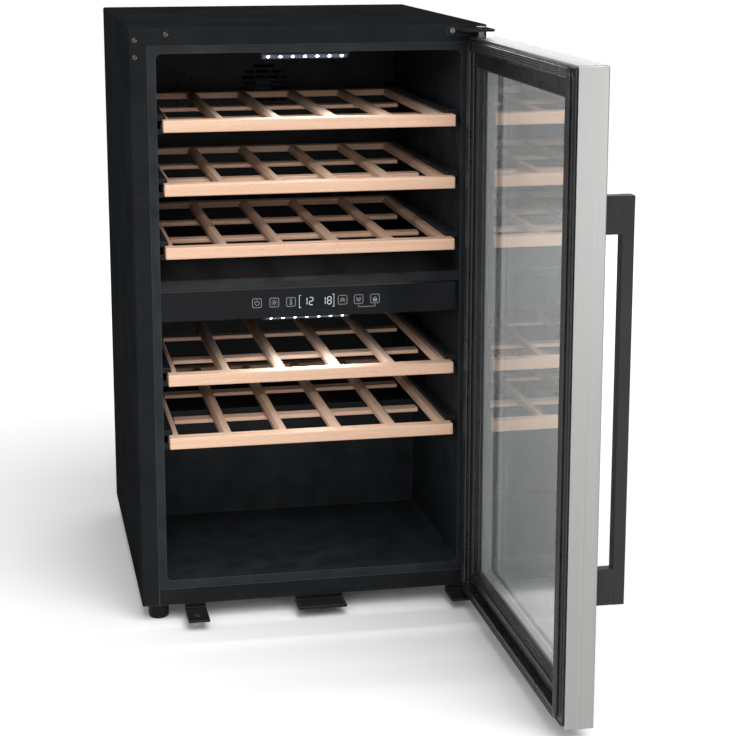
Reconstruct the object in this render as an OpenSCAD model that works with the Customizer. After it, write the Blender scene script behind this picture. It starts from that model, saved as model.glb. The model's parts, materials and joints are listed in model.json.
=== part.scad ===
// Free-standing dual-zone wine cooler with a glass door, five beech shelves and a rear machine bay.
// The origin is on the floor, under the middle of the cabinet. +Z is up and the door side faces -Y.
// Modules are written from the cabinet's front plane (y = 0) and its underside (z = 0), and
// place() sets them down on the floor. The door is drawn closed and door_place() swings it open.

/* [Cabinet] */
// Width of the cabinet
cabinet_w = 495; // [480:1:520]
// Depth of the cabinet behind its front plane
cabinet_d = 540; // [538:1:560]
// Height of the cabinet without its feet
cabinet_h = 817; // [815:1:840]
// Thickness of the folded steel skin
skin_t = 1; // [0.8:0.1:1.2]
// Width of the steel band folded round the front
flange_w = 24; // [20:1:26]
// Width of the whole border beside the opening
side_border = 35.5; // [33:0.5:36]
// Height of the border above the opening
top_border = 34.5; // [33:0.5:36]
// Height of the border below the opening
bottom_border = 36; // [34:1:38]
// Wall of the plastic liner
liner_t = 2; // [1.5:0.5:2.5]
// Depth of the liner behind the front plane
liner_d = 490; // [480:1:492]
// Width by which a liner rib stands out from the wall
rib_w = 14; // [10:1:15]

/* [Zones] */
// Underside of the divider between the zones
divider_z = 412; // [405:1:420]
// Height of the control panel on the divider's front
panel_h = 44; // [40:1:46]
// Height of the whole divider
divider_h = 55; // [50:1:60]
// Front of the step over the machine bay
step_y = 300; // [290:5:310]
// Top of the step over the machine bay
step_z = 204; // [200:1:210]

/* [Shelves] */
// Underside of the lowest shelf
lower_shelf_z = 230; // [228:1:236]
// Distance between the two lower shelves
lower_pitch = 91; // [88:1:94]
// Underside of the lowest shelf in the upper zone
upper_shelf_z = 501; // [495:1:505]
// Distance between the upper shelves
upper_pitch = 87.5; // [84:0.5:90]
// Width of a shelf
shelf_w = 408; // [400:1:408]
// Depth of a shelf
shelf_d = 440; // [420:5:445]
// Height of the bar along a shelf's front
bar_h = 16.5; // [14:0.5:18]
// Distance between bottle places
bottle_pitch = 80; // [76:1:80]

/* [Door] */
// Angle at which the door stands open
door_open = 90; // [0:5:100]
// Width of the door
door_w = 494; // [490:1:495]
// Height of the door
door_h = 807; // [800:1:808]
// Distance of the door's underside below the cabinet's underside
door_drop = 6.6; // [6:0.2:7]
// Depth of the stainless frame
door_t = 37.5; // [35:0.5:40]
// Gap that the gasket fills behind the frame
gasket_gap = 9.2; // [9:0.1:10]
// Width of the frame beside the glass
stile_w = 42; // [40:1:44]
// Height of the frame above and below the glass
rail_w = 41; // [38:1:46]
// Depth from the frame's back to the inner pane
pane_recess = 10; // [8:1:12]
// Thickness of each pane
pane_t = 4; // [3:1:4]
// Depth of the spacer between the panes
spacer_d = 14; // [12:1:14]

/* [Handle] */
// Length of the handle
handle_len = 503; // [480:1:520]
// Height of each post of the handle
post_h = 46; // [40:1:50]
// Width of the bar and the posts
handle_w = 16; // [14:1:18]
// Distance by which the handle stands off the door
handle_reach = 39.5; // [36:0.5:42]
// Thickness of the bar
handle_t = 15.5; // [14:0.5:17]

/* [Feet] */
// Height of the feet under the cabinet
foot_h = 25; // [22:1:32]
// Radius of a foot
foot_r = 14.5; // [12:0.5:16]

/* [Hidden] */
shelf_zs = concat(
    [for (i = [2:-1:0]) upper_shelf_z + i * upper_pitch],
    [for (i = [1:-1:0]) lower_shelf_z + i * lower_pitch]
);
shelf_count = len(shelf_zs);
corners = ["front_left", "front_right", "rear_left", "rear_right"];

$fn = 48;
eps = 0.01;
air = 0.3;

// Cabinet
half_w = cabinet_w / 2;
open_x = half_w - side_border;
open_z0 = bottom_border;
open_z1 = cabinet_h - top_border;
bend_r = 3;
rear_lip = 12;
foam_gap = 0.2;
skin_z = 2;
lip_y0 = skin_t;
lip_t = 2;
lip_tuck = 3;
liner_r = 8;
bay_y = step_y + 42;
bay_z = step_z - 37;
back_y = cabinet_d - skin_t;
back_t = 0.8;
cover_y = 455;
cover_t = 2;
rib_h = 7;
rib_y0 = 22;
rib_y1 = 450;
groove_low = 2.7;
groove_high = 14;

// Control panel: lower and upper corner of its window in XZ
window = [[-20, 424.5], [32, 444.5]];

// Light bars: one under the ceiling, one under the divider
light_tops = [open_z1, divider_z];
light_x = 62;
light_y = 46;
light_h = 14;
light_d = 20;

// Shelves
shelf_x = shelf_w / 2;
shelf_front = -3;
bar_d = 20;
slat_w = 16;
slat_low = 3;
slat_t = 10;
glue = 0.1;

// Feet and the nuts that hold them
foot_x = 223;
foot_y0 = 27;
foot_y1 = 508;
stud_r = 4;
nut_r = 9;
nut_h = 10;
fit_gap = 0.05;

// Filter and sensors on the duct covers, as X and Z
filter_at = [-130, 690];
filter_r = 30;
sensor_at = [[150, 640], [150, 300]];

// Machine bay
inlet_at = [210, 40];
mount_x = 58;
mount_y = 48;
comp_x = 125;
comp_y = 440;
comp_r = 70;
fan_z = [690, 358];
fan_y = 458;
fan_r = 40;
cond_fan_x = -62;
cond_fan_y = 440;
cond_fan_z = 72;
cond_fan_r = 52;

// Door, drawn closed
hinge_x = 233.4;
hinge_y = -20;
pin_r = 4;
bush_r = 5.5;
door_x = door_w / 2;
door_z0 = -door_drop;
door_z1 = door_z0 + door_h;
door_back = -gasket_gap;
door_front = door_back - door_t;
glass_x = door_x - stile_w;
glass_z0 = door_z0 + rail_w;
glass_z1 = door_z1 - rail_w;
wrap_t = 1.2;
wrap_r = 2;
wrap_fold = 3;
inner_y = door_back - pane_recess;
outer_y = inner_y - pane_t - spacer_d;
glass_lap = 12;
handle_x = -224;
handle_z0 = 145;
handle_front = door_front - handle_reach;
gasket_low = [-235.5, 1];
gasket_high = [233.8, open_z1 + 14.5];
gasket_w = 15;
gasket_foot = 9;
foot_groove = 4;

// Hinge brackets and their screws, as X and Z on the front plane
hinge_screw_at = [[240, 801], [240, 778], [198, 808.5]];
screw_r = 1.9;
screw_head = 3.6;
leg_t = 2;
bracket_t = 3;
top_bracket_z = 810;
plate_z = -11;

// Colours
black_steel = [0.07, 0.07, 0.08];
black_plastic = [0.09, 0.09, 0.10];
galvanised = [0.62, 0.64, 0.66];
stainless = [0.72, 0.72, 0.71];
beech = [0.89, 0.75, 0.62];
rubber_black = [0.05, 0.05, 0.05];
foam_cream = [0.93, 0.88, 0.72];
copper = [0.72, 0.42, 0.26];
clear_glass = [0.75, 0.82, 0.82, 0.35];

// ---------- helpers ----------

module place() {
    translate([0, -cabinet_d / 2, foot_h]) children();
}

module door_place() {
    place() translate([hinge_x, hinge_y, 0]) rotate([0, 0, door_open])
        translate([-hinge_x, -hinge_y, 0]) children();
}

// Box given by its two corners
module block(low, high) {
    translate(low) cube(high - low);
}

// Flat rectangle with four round corners, from low to high
module round_rect(low, high, r) {
    translate([low.x + r, low.y]) square([high.x - low.x - 2 * r, high.y - low.y]);
    translate([low.x, low.y + r]) square([high.x - low.x, high.y - low.y - 2 * r]);
    for (x = [low.x + r, high.x - r], y = [low.y + r, high.y - r])
        translate([x, y]) circle(r);
}

// Flat XZ outline made solid from y0 to y1
module along_y(y0, y1) {
    translate([0, y1, 0]) rotate([90, 0, 0]) linear_extrude(y1 - y0) children();
}

// Flat YZ outline made solid from x0 to x1
module along_x(x0, x1) {
    translate([x0, 0, 0]) rotate([90, 0, 90]) linear_extrude(x1 - x0) children();
}

// Flat XY outline made solid from z0 to z1
module along_z(z0, z1) {
    translate([0, 0, z0]) linear_extrude(z1 - z0) children();
}

// Bar with its long edges rounded, along X, from low to high
module bar_x(low, high, r) {
    along_x(low.x, high.x) round_rect([low.y, low.z], [high.y, high.z], r);
}

// Bar with its long edges rounded, along Y, from low to high
module bar_y(low, high, r) {
    along_y(low.y, high.y) round_rect([low.x, low.z], [high.x, high.z], r);
}

// Bar with its long edges rounded, along Z, from low to high
module bar_z(low, high, r) {
    along_z(low.z, high.z) round_rect([low.x, low.y], [high.x, high.y], r);
}

// Block with every edge rounded, from low to high
module soft_block(low, high, r) {
    intersection() {
        bar_x(low, high, r);
        bar_y(low, high, r);
        bar_z(low, high, r);
    }
}

// Round rod between two points
module rod(a, b, r) {
    d = b - a;
    length = norm(d);
    translate(a) rotate([0, acos(d.z / length), atan2(d.y, d.x)]) cylinder(h = length, r = r);
}

// Tube through a list of points, with a slightly larger ball as the elbow at each bend
module tube(path, r) {
    for (i = [0 : len(path) - 2]) rod(path[i], path[i + 1], r);
    for (i = [1 : len(path) - 2]) translate(path[i]) sphere(r + 0.4);
}

// Rectangular ring lying in the XZ plane, between an outer and an inner rectangle
module ring_y(outer_low, outer_high, inner_low, inner_high, y0, y1, r_outer, r_inner) {
    difference() {
        along_y(y0, y1) round_rect(outer_low, outer_high, r_outer);
        along_y(y0 - 1, y1 + 1) round_rect(inner_low, inner_high, r_inner);
    }
}

// ---------- cabinet ----------

// Outside of the cabinet moved inwards by t, open below
module cabinet_solid(t) {
    r = max(bend_r - t, 0.5);
    low = -60;
    intersection() {
        along_y(t, cabinet_d - t) round_rect([-half_w + t, low], [half_w - t, cabinet_h - t], r);
        along_z(low + r, cabinet_h)
            round_rect([-half_w + t, t], [half_w - t, cabinet_d + 2 * bend_r], r);
        along_x(-half_w, half_w) round_rect([t, low], [cabinet_d + 2 * bend_r, cabinet_h - t], r);
    }
}

module above(z) {
    intersection() {
        children();
        block([-half_w - 1, -1, z], [half_w + 1, cabinet_d + 1, cabinet_h + 1]);
    }
}

module outer_shell() {
    color(black_steel) place() difference() {
        above(0) cabinet_solid(0);
        cabinet_solid(skin_t);
        block([-half_w + flange_w, -1, -1], [half_w - flange_w, skin_t + 1, cabinet_h - flange_w]);
        block([-half_w + rear_lip, back_y - 1, -1],
              [half_w - rear_lip, cabinet_d + 1, cabinet_h - rear_lip]);
    }
}

module bottom_front_rail() {
    edge = half_w - flange_w;
    color(black_steel) place() {
        block([-edge, 0, 0], [edge, skin_t, flange_w]);
        block([-edge, 0, flange_w - skin_t], [edge, lip_y0 + lip_t + 6, flange_w]);
    }
}

// Space inside the liner, moved outwards by g
module liner_space(g) {
    front = -1;
    intersection() {
        along_y(front, liner_d + g)
            round_rect([-open_x - g, open_z0 - g], [open_x + g, open_z1 + g], liner_r + g);
        along_x(-open_x - g, open_x + g) polygon([
            [front, open_z0 - g], [step_y + g, open_z0 - g], [step_y + g, step_z - g],
            [liner_d + g, step_z - g], [liner_d + g, open_z1 + g], [front, open_z1 + g]
        ]);
    }
}

// Pair of ribs that a shelf slides between, on one wall
module rib_pair(side, z) {
    for (low = [z + groove_low - rib_h, z + groove_high])
        translate([side * (open_x - rib_w / 2 + eps), 0, 0])
            bar_y([-rib_w / 2, rib_y0, low], [rib_w / 2, rib_y1, low + rib_h], 2);
}

module inner_liner() {
    tuck = half_w - flange_w + lip_tuck;
    color(black_plastic) place() {
        difference() {
            union() {
                intersection() {
                    liner_space(liner_t);
                    block([-half_w, lip_y0, 0], [half_w, cabinet_d, cabinet_h]);
                }
                along_y(lip_y0, lip_y0 + lip_t)
                    round_rect([-tuck, flange_w + eps], [tuck, cabinet_h - flange_w + lip_tuck], 2);
            }
            liner_space(0);
        }
        for (side = [-1, 1], z = shelf_zs) rib_pair(side, z);
    }
}

module foam_insulation() {
    front = lip_y0 + lip_t;
    color(foam_cream) place() difference() {
        intersection() {
            cabinet_solid(skin_t + foam_gap);
            block([-half_w, front, skin_z], [half_w, back_y - back_t, cabinet_h]);
        }
        liner_space(liner_t);
        block([-half_w, bay_y, -1], [half_w, cabinet_d + 1, bay_z]);
        block([-half_w, front - 1, -1], [half_w, front + 7, flange_w + 1]);
        for (x = [-foot_x, foot_x]) translate([x, foot_y0, 0]) cylinder(h = 16, r = nut_r + air);
    }
}

module back_panel() {
    margin = 2;
    color(galvanised) place()
        block([-half_w + margin, back_y - back_t, bay_z], [half_w - margin, back_y, cabinet_h - margin]);
}

module base_pan() {
    margin = 1.7;
    color(galvanised) place() difference() {
        union() {
            block([-half_w + margin, margin, 0], [half_w - margin, back_y - back_t - air, skin_z]);
            for (x = [-foot_x, foot_x], y = [foot_y0, foot_y1])
                translate([x, y, 0]) cylinder(h = skin_z + nut_h, r = nut_r);
        }
        for (x = [-foot_x, foot_x], y = [foot_y0, foot_y1])
            translate([x, y, -1]) cylinder(h = 20, r = stud_r + fit_gap);
    }
}

module foot(corner) {
    x = corner[0] * foot_x;
    y = corner[1] < 0 ? foot_y0 : foot_y1;
    gap = 4;
    color(black_plastic) place() translate([x, y, 0]) {
        rotate_extrude() polygon([
            [0, -foot_h], [foot_r - 2.5, -foot_h], [foot_r - 1, -foot_h + 2],
            [foot_r, -foot_h + 5], [foot_r, -gap - 1], [foot_r - 1, -gap], [0, -gap]
        ]);
        translate([0, 0, -gap - 1]) cylinder(h = gap + 1 + nut_h, r = stud_r);
    }
}

// ---------- divider and controls ----------

module zone_divider() {
    top = divider_z + divider_h;
    front = 6;
    pocket_y = 60;
    wall = 6;
    color(black_plastic) place() difference() {
        along_x(-open_x, open_x) polygon([
            [front, divider_z], [cover_y, divider_z], [cover_y, top], [front + 12, top],
            [front, divider_z + panel_h]
        ]);
        block([-130, front - 1, divider_z + wall], [130, pocket_y, divider_z + panel_h - wall]);
    }
}

module control_panel() {
    side = open_x - 0.5;
    low = divider_z + 0.3;
    high = divider_z + panel_h;
    color(black_plastic) place() difference() {
        along_x(-side, side) polygon([
            [1, low + 1], [2, low], [6, low], [6, high], [3, high], [1, high - 2]
        ]);
        block([window[0].x, 0, window[0].y], [window[1].x, 7, window[1].y]);
    }
}

module display_window() {
    color([0.05, 0.06, 0.07]) place()
        block([window[0].x + 0.1, 1, window[0].y + 0.1], [window[1].x - 0.1, 3, window[1].y - 0.1]);
}

module control_board() {
    low = divider_z + 8;
    color([0.10, 0.35, 0.18]) place() {
        block([-110, 12, low], [110, 13.6, low + 28]);
        block([window[0].x + 2, 5, window[0].y + 2], [window[1].x - 2, 12 + eps, window[1].y - 2]);
        for (x = [-85 : 17 : -34]) translate([x, 13.5, low + 12]) rotate([-90, 0, 0])
            cylinder(h = 12, r = 4);
        for (x = [45 : 20 : 85]) block([x, 13.5, low + 6], [x + 12, 18, low + 18]);
    }
}

module light_profile() {
    polygon([[0, 0], [light_d, 0], [light_d, -light_h], [8, -light_h], [0, -6]]);
}

module light_bars() {
    color(black_plastic) place() for (top = light_tops) translate([0, light_y, top])
        difference() {
            along_x(-light_x, light_x) light_profile();
            translate([0, 4, -10]) rotate([45, 0, 0])
                cube([2 * light_x - 6, 5, 7.2], center = true);
        }
}

module light_diffusers() {
    color([0.95, 0.97, 1.0]) place() for (top = light_tops) translate([0, light_y + 4, top - 10])
        rotate([45, 0, 0]) translate([0, 1.2, 0]) cube([2 * light_x - 6.4, 2.4, 6.8], center = true);
}

// ---------- air ducts, fans and evaporators ----------

// Round grille opening cut as level slots
module grille_slots(r, slot, pitch) {
    for (z = [-floor(r / pitch) * pitch : pitch : r]) {
        half = sqrt(max(r * r - z * z, 0));
        if (half > slot) bar_y([-half, -5, z - slot / 2], [half, 5, z + slot / 2], slot / 2 - eps);
    }
}

module duct_cover(z0, z1, fan, slot_zs, holes) {
    side = open_x - air;
    rim = 14;
    difference() {
        block([-side, cover_y, z0], [side, liner_d - 1, z1]);
        block([-side + cover_t, cover_y + cover_t, z0 + cover_t], [side - cover_t, liner_d, z1 - cover_t]);
        for (x = [-1, 1]) block([min(x * side * 0.7, x * side * 1.1), cover_y + rim, z0 - 1],
                                [max(x * side * 0.7, x * side * 1.1), liner_d, z1 + 1]);
        translate([0, cover_y, fan]) grille_slots(fan_r, 5, 9);
        for (z = slot_zs, x = [-150 : 60 : 150])
            bar_y([x - 22, cover_y - 5, z - 3], [x + 22, cover_y + 5, z + 3], 2.9);
        for (h = holes) translate([h.x, cover_y - 5, h.y]) rotate([-90, 0, 0]) cylinder(h = 10, r = h.z);
    }
}

module upper_duct_cover() {
    color(black_plastic) place() duct_cover(
        divider_z + divider_h + air, open_z1 - 9, fan_z[0], [500, 514, 752],
        [[filter_at.x, filter_at.y, filter_r + air], [sensor_at[0].x, sensor_at[0].y, 4]]
    );
}

module lower_duct_cover() {
    color(black_plastic) place() duct_cover(
        step_z + air, divider_z - air, fan_z[1], [222, 236],
        [[sensor_at[1].x, sensor_at[1].y, 4]]
    );
}

module evaporators() {
    sizes = [[150, 535, 630], [130, 250, 308]];
    fin_t = 1;
    fin_pitch = 12;
    y0 = cover_y + 6;
    y1 = cover_y + 26;
    color([0.78, 0.79, 0.80]) place() for (s = sizes) {
        for (z = [s[1] + 12 : 18 : s[2] - 8], y = [y0 + 5, y1 - 5])
            rod([-s[0], y, z], [s[0], y, z], 3);
        for (x = [-s[0] + 6 : fin_pitch : s[0] - 6]) block([x, y0, s[1]], [x + fin_t, y1, s[2]]);
    }
}

// Square fan frame with a round mouth, three arms and a fixed shaft, blowing along +Z
module fan_frame(r, depth) {
    side = 2 * r + 12;
    arm = 4;
    difference() {
        translate([-side / 2, -side / 2, 0]) cube([side, side, depth]);
        translate([0, 0, -1]) cylinder(h = depth + 2, r = r + 2);
        for (x = [-1, 1], y = [-1, 1]) translate([x * (r + 1), y * (r + 1), -1])
            cylinder(h = depth + 2, r = 2);
    }
    for (a = [90 : 120 : 330]) rotate([0, 0, a]) translate([0, -arm / 2, depth - 3])
        cube([r + 3, arm, 3]);
    translate([0, 0, depth - 4]) cylinder(h = 4, r = 12);
    translate([0, 0, 3]) cylinder(h = depth - 4, r = 3);
}

// Fan rotor on that shaft
module fan_rotor(r, depth) {
    blades = 7;
    hub = 14;
    top = depth - 5;
    difference() {
        union() {
            translate([0, 0, 1]) cylinder(h = top - 1, r = hub);
            intersection() {
                for (a = [0 : 360 / blades : 359]) rotate([0, 0, a]) translate([hub - 2, 0, depth / 2 - 2])
                    rotate([38, 0, 0]) translate([0, -11, -0.8]) cube([r, 22, 1.6]);
                translate([0, 0, 1.5]) cylinder(h = top - 2, r = r);
            }
        }
        translate([0, 0, 2.5]) cylinder(h = depth, r = 3 + fit_gap);
    }
}

module wall_fan_place(i) {
    place() translate([0, fan_y, fan_z[i]]) rotate([-90, 0, 0]) children();
}

module bay_fan_place() {
    place() translate([cond_fan_x, cond_fan_y, cond_fan_z]) rotate([0, 90, 0]) children();
}

module fan_frames() {
    color(black_plastic) {
        for (i = [0, 1]) wall_fan_place(i) fan_frame(fan_r, 20);
        bay_fan_place() fan_frame(cond_fan_r, 22);
    }
}

module upper_fan_rotor() {
    color([0.25, 0.26, 0.28]) wall_fan_place(0) fan_rotor(fan_r, 20);
}

module lower_fan_rotor() {
    color([0.25, 0.26, 0.28]) wall_fan_place(1) fan_rotor(fan_r, 20);
}

module condenser_fan_rotor() {
    color([0.25, 0.26, 0.28]) bay_fan_place() fan_rotor(cond_fan_r, 22);
}

module charcoal_filter() {
    color([0.16, 0.16, 0.17]) place() translate([filter_at.x, cover_y, filter_at.y])
        rotate([-90, 0, 0]) difference() {
            union() {
                translate([0, 0, -2]) cylinder(h = 2, r = filter_r + 4);
                translate([0, 0, -1]) cylinder(h = 22, r = filter_r);
            }
            for (a = [0 : 60 : 300]) rotate([0, 0, a]) translate([12, -2.5, -3]) cube([14, 5, 6]);
            translate([0, 0, -3]) cylinder(h = 4, r = 5);
        }
}

module temperature_sensors() {
    color(black_plastic) place() for (s = sensor_at) translate([s.x, cover_y, s.y])
        rotate([90, 0, 0]) {
            translate([0, 0, -8]) cylinder(h = 8.5, r = 3.6);
            cylinder(h = 2, r = 7);
            translate([0, 0, 1]) cylinder(h = 7, r = 3);
            translate([0, 0, 8]) sphere(3);
        }
}

// ---------- machine bay ----------

module compressor() {
    foot_z = 14;
    seam_z = 78;
    color([0.08, 0.08, 0.09]) place() translate([comp_x, comp_y, 0]) {
        rotate_extrude() union() {
            polygon([
                [0, 22], [comp_r - 22, 22], [comp_r - 8, 30], [comp_r - 2, 44], [comp_r - 2, 110],
                [comp_r - 8, 128], [comp_r - 24, 140], [0, 146]
            ]);
            translate([comp_r - 3, seam_z - 3]) square([4, 6]);
        }
        difference() {
            block([-mount_x - 14, -mount_y - 12, foot_z], [mount_x + 14, mount_y + 12, foot_z + 3]);
            for (x = [-mount_x, mount_x], y = [-mount_y, mount_y])
                translate([x, y, 0]) cylinder(h = 30, r = 6);
        }
        for (x = [-30, 30]) block([x - 10, -40, foot_z + 2], [x + 10, 40, 26]);
    }
}

module compressor_mounts() {
    color(rubber_black) place()
        for (x = [-mount_x, mount_x], y = [-mount_y, mount_y])
            translate([comp_x + x, comp_y + y, 0]) rotate_extrude() polygon([
                [2.5, skin_z], [10, skin_z], [9, 8], [10, 14], [5.9, 14], [5.9, 17], [8, 17],
                [7, 21], [2.5, 21]
            ]);
}

module relay_box() {
    left = comp_x - comp_r - 34;
    right = comp_x - comp_r - 2;
    color([0.16, 0.16, 0.17]) place() difference() {
        bar_z([left, comp_y - 27, 46], [right, comp_y + 27, 112], 4);
        for (z = [56 : 8 : 100]) block([left - 1, comp_y - 18, z], [left + 1.5, comp_y + 18, z + 3]);
    }
}

module condenser_coil() {
    x0 = -232;
    x1 = -92;
    rows = 6;
    row_pitch = 22;
    z0 = 22;
    color([0.12, 0.12, 0.13]) place() for (y = [comp_y - 26, comp_y + 26]) {
        tube([for (i = [0 : 2 * rows - 1])
            [(floor((i + 1) / 2) % 2 == 0) ? x0 : x1, y, z0 + floor(i / 2) * row_pitch]], 2.5);
        for (x = [x0 + 8 : 8 : x1 - 6], side = [-1, 1])
            rod([x, y + side * 3, z0 - 6], [x, y + side * 3, z0 + (rows - 1) * row_pitch + 6], 0.8);
    }
}

module drip_tray() {
    low = 149;
    high = 163;
    color(black_plastic) place() translate([comp_x, comp_y, 0]) difference() {
        bar_z([-78, -62, low], [78, 62, high], 10);
        bar_z([-76, -60, low + 2], [76, 60, high + 1], 8);
    }
}

module filter_drier() {
    color(copper) place() translate([-10, 366, 40]) rotate([0, 90, 0]) rotate_extrude() polygon([
        [0, -56], [2.5, -56], [2.5, -46], [9, -36], [9, 36], [2.5, 46], [2.5, 56], [0, 56]
    ]);
}

module refrigerant_lines() {
    line_y = 356;
    coil_y = comp_y - 26;
    drier_y = 366;
    color(copper) place() {
        tube([[comp_x - 30, 377, 96], [comp_x - 30, line_y, 96], [-80, line_y, 96],
              [-80, line_y, 150], [-232, line_y, 150], [-232, coil_y, 150], [-232, coil_y, 135]], 2.5);
        tube([[46.2, drier_y, 40], [80, drier_y, 40], [80, drier_y, bay_z - 0.5]], 2.5);
        tube([[comp_x + 30, 376, 96], [comp_x + 30, drier_y, 96], [214, drier_y, 96],
              [214, drier_y, bay_z - 0.5]], 3.5);
    }
}

module rear_grille() {
    side = half_w - 1.5;
    slot_w = 84;
    color(black_steel) place() difference() {
        block([-side, back_y - back_t, skin_z], [side, back_y, bay_z - air]);
        for (x = [-170, -70, 30, 130], z = [30 : 11 : 145])
            bar_y([x - slot_w / 2, back_y - 5, z - 2.5], [x + slot_w / 2, back_y + 5, z + 2.5], 2.4);
        translate([inlet_at.x, back_y - 5, inlet_at.y]) rotate([-90, 0, 0]) cylinder(h = 10, r = 8);
    }
}

module cord_inlet() {
    color(rubber_black) place() translate([inlet_at.x, back_y, inlet_at.y]) rotate([-90, 0, 0])
        rotate_extrude() polygon([
            [3.6, -8], [10, -8], [10, -back_t - 0.2], [7.9, -back_t - 0.2], [7.9, 0.1], [11, 0.1],
            [9.5, 4], [6.5, 14], [3.6, 14]
        ]);
}

// ---------- hinges and front plates ----------

// Countersunk screw or its seat, pointing along +Y from the bracket's face
module hinge_screw(at, grow) {
    translate([at.x, -leg_t, at.y]) rotate([-90, 0, 0]) rotate_extrude() polygon([
        [0, 0], [screw_head + grow, 0], [screw_r + grow, leg_t - 0.2], [screw_r + grow, 14],
        [0, 14]
    ]);
}

module top_hinge_bracket() {
    tip = -55;
    top = top_bracket_z + bracket_t;
    leg_low = 768;
    color(black_steel) place() difference() {
        union() {
            along_z(top_bracket_z, top) {
                translate([204, tip + 12]) square([42, -tip - 12]);
                translate([216, tip]) square([30 - 8, 14]);
                translate([216, tip + 12]) circle(12);
                translate([238, tip + 8]) circle(8);
            }
            block([190, -leg_t, top_bracket_z - 8], [246, 0, top]);
            block([235, -leg_t, leg_low], [246, 0, top]);
        }
        translate([hinge_x, hinge_y, top_bracket_z - 1]) cylinder(h = 6, r = pin_r);
        for (s = hinge_screw_at) hinge_screw(s, 0.05);
    }
}

// Flat plate bolted under the base, stepped down below the door, from x0 to x1 and out to y_out
module stepped_plate(x0, x1, y_out, y_in) {
    block([x0, 5, -bracket_t], [x1, y_in, 0]);
    block([x0, 5, plate_z], [x1, 5 + bracket_t, 0]);
    block([x0, y_out, plate_z], [x1, 5 + bracket_t, plate_z + bracket_t]);
}

module bottom_hinge_bracket() {
    color(black_steel) place() difference() {
        stepped_plate(196, 246, -38, 62);
        translate([hinge_x, hinge_y, plate_z - 1]) cylinder(h = 6, r = pin_r);
        translate([foot_x, foot_y0, -10]) cylinder(h = 12, r = stud_r + 0.5);
    }
}

module hinge_pins() {
    head = 6.5;
    color([0.7, 0.7, 0.72]) place() translate([hinge_x, hinge_y, 0]) {
        translate([0, 0, door_z1 - 14]) cylinder(h = top_bracket_z + bracket_t - door_z1 + 14, r = pin_r);
        translate([0, 0, top_bracket_z + bracket_t]) cylinder(h = 2, r = head);
        translate([0, 0, plate_z]) cylinder(h = door_z0 + 14 - plate_z, r = pin_r);
        translate([0, 0, plate_z - 2]) cylinder(h = 2, r = head);
    }
}

module hinge_screws() {
    slot = 0.9;
    color([0.55, 0.55, 0.57]) place() for (s = hinge_screw_at) difference() {
        hinge_screw(s, 0);
        translate([s.x, -leg_t, s.y]) for (a = [0, 90]) rotate([0, a, 0])
            cube([4, 2, slot], center = true);
    }
}

module hole_plugs() {
    color([0.30, 0.30, 0.32]) place() for (s = hinge_screw_at) translate([-s.x, 0, s.y])
        rotate([90, 0, 0]) rotate_extrude() polygon([
            [0, 0], [3.8, 0], [3.4, 0.8], [1.8, 1.2], [0, 1.3]
        ]);
}

module left_tab_plate() {
    color(black_steel) place() difference() {
        stepped_plate(-187, -157, -48, 50);
        translate([-172, -26, plate_z - 1]) cylinder(h = 6, r = 5);
    }
}

module centre_plate() {
    rim = 2;
    color(black_steel) place() {
        stepped_plate(-27, 43, -28, 50);
        for (x = [-27, 43 - rim]) block([x, -28, plate_z], [x + rim, 5, plate_z + 4]);
        block([-27, -28, plate_z], [43, -28 + rim, plate_z + 4]);
    }
}

// ---------- shelves ----------

module shelf_front_bar(i) {
    z = shelf_zs[i];
    color(beech) place()
        soft_block([-shelf_x, shelf_front, z], [shelf_x, shelf_front + bar_d, z + bar_h], 2);
}

// Slat whose upper edges slope to cradle the bottles
module slat(x, y0, y1, z) {
    bevel = 4;
    along_y(y0, y1) translate([x, z]) polygon([
        [-slat_w / 2, 0], [slat_w / 2, 0], [slat_w / 2, slat_t - bevel],
        [slat_w / 2 - bevel, slat_t], [-slat_w / 2 + bevel, slat_t], [-slat_w / 2, slat_t - bevel]
    ]);
}

module shelf_rack(i) {
    z = shelf_zs[i] + slat_low;
    front = shelf_front + bar_d + glue;
    rear = shelf_front + shelf_d;
    edge = shelf_x - slat_w / 2;
    tie_x = edge - slat_w / 2 - 4;
    color(beech) place() {
        for (n = [0:5]) {
            middle = bottle_pitch * (n - 2.5);
            x = n == 0 ? -edge : (n == 5 ? edge : middle);
            slat(x, front, rear - bar_d - glue, z);
        }
        bar_x([-shelf_x, rear - bar_d, z], [shelf_x, rear, z + slat_t], 2);
        for (y = [140, 290]) bar_x([-tie_x, y, z - 6 - glue], [tie_x, y + 22, z - glue], 1.5);
    }
}

// ---------- door ----------

// Ring of one width, set in from the gasket's edge, between two depths from the door's back
module gasket_ring(inset, width, y0, y1, r_outer, r_inner) {
    low = gasket_low + [inset, inset];
    high = gasket_high - [inset, inset];
    w = [width, width];
    ring_y(low, high, low + w, high - w, door_back + y0, door_back + y1, r_outer, r_inner);
}

module door_outer_frame() {
    low = [-door_x, door_z0];
    high = [door_x, door_z1];
    t = [wrap_t, wrap_t];
    fold = [wrap_fold, wrap_fold];
    color(stainless) door_place() difference() {
        intersection() {
            along_y(door_front, door_back) round_rect(low, high, wrap_r);
            along_z(door_z0 - 1, door_z1 + 1)
                round_rect([-door_x, door_front], [door_x, door_back + 10], wrap_r);
            along_x(-door_x - 1, door_x + 1)
                round_rect([door_front, door_z0], [door_back + 10, door_z1], wrap_r);
        }
        along_y(door_front + wrap_t, door_back - wrap_t) round_rect(low + t, high - t, wrap_r - wrap_t);
        along_y(door_front + wrap_t, door_back + 1) round_rect(low + fold, high - fold, 1);
        along_y(door_front - 1, door_front + 5)
            round_rect([-glass_x, glass_z0], [glass_x, glass_z1], 1);
        translate([hinge_x, hinge_y, door_z0 - 1]) cylinder(h = door_h + 2, r = bush_r + air);
    }
}

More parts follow.
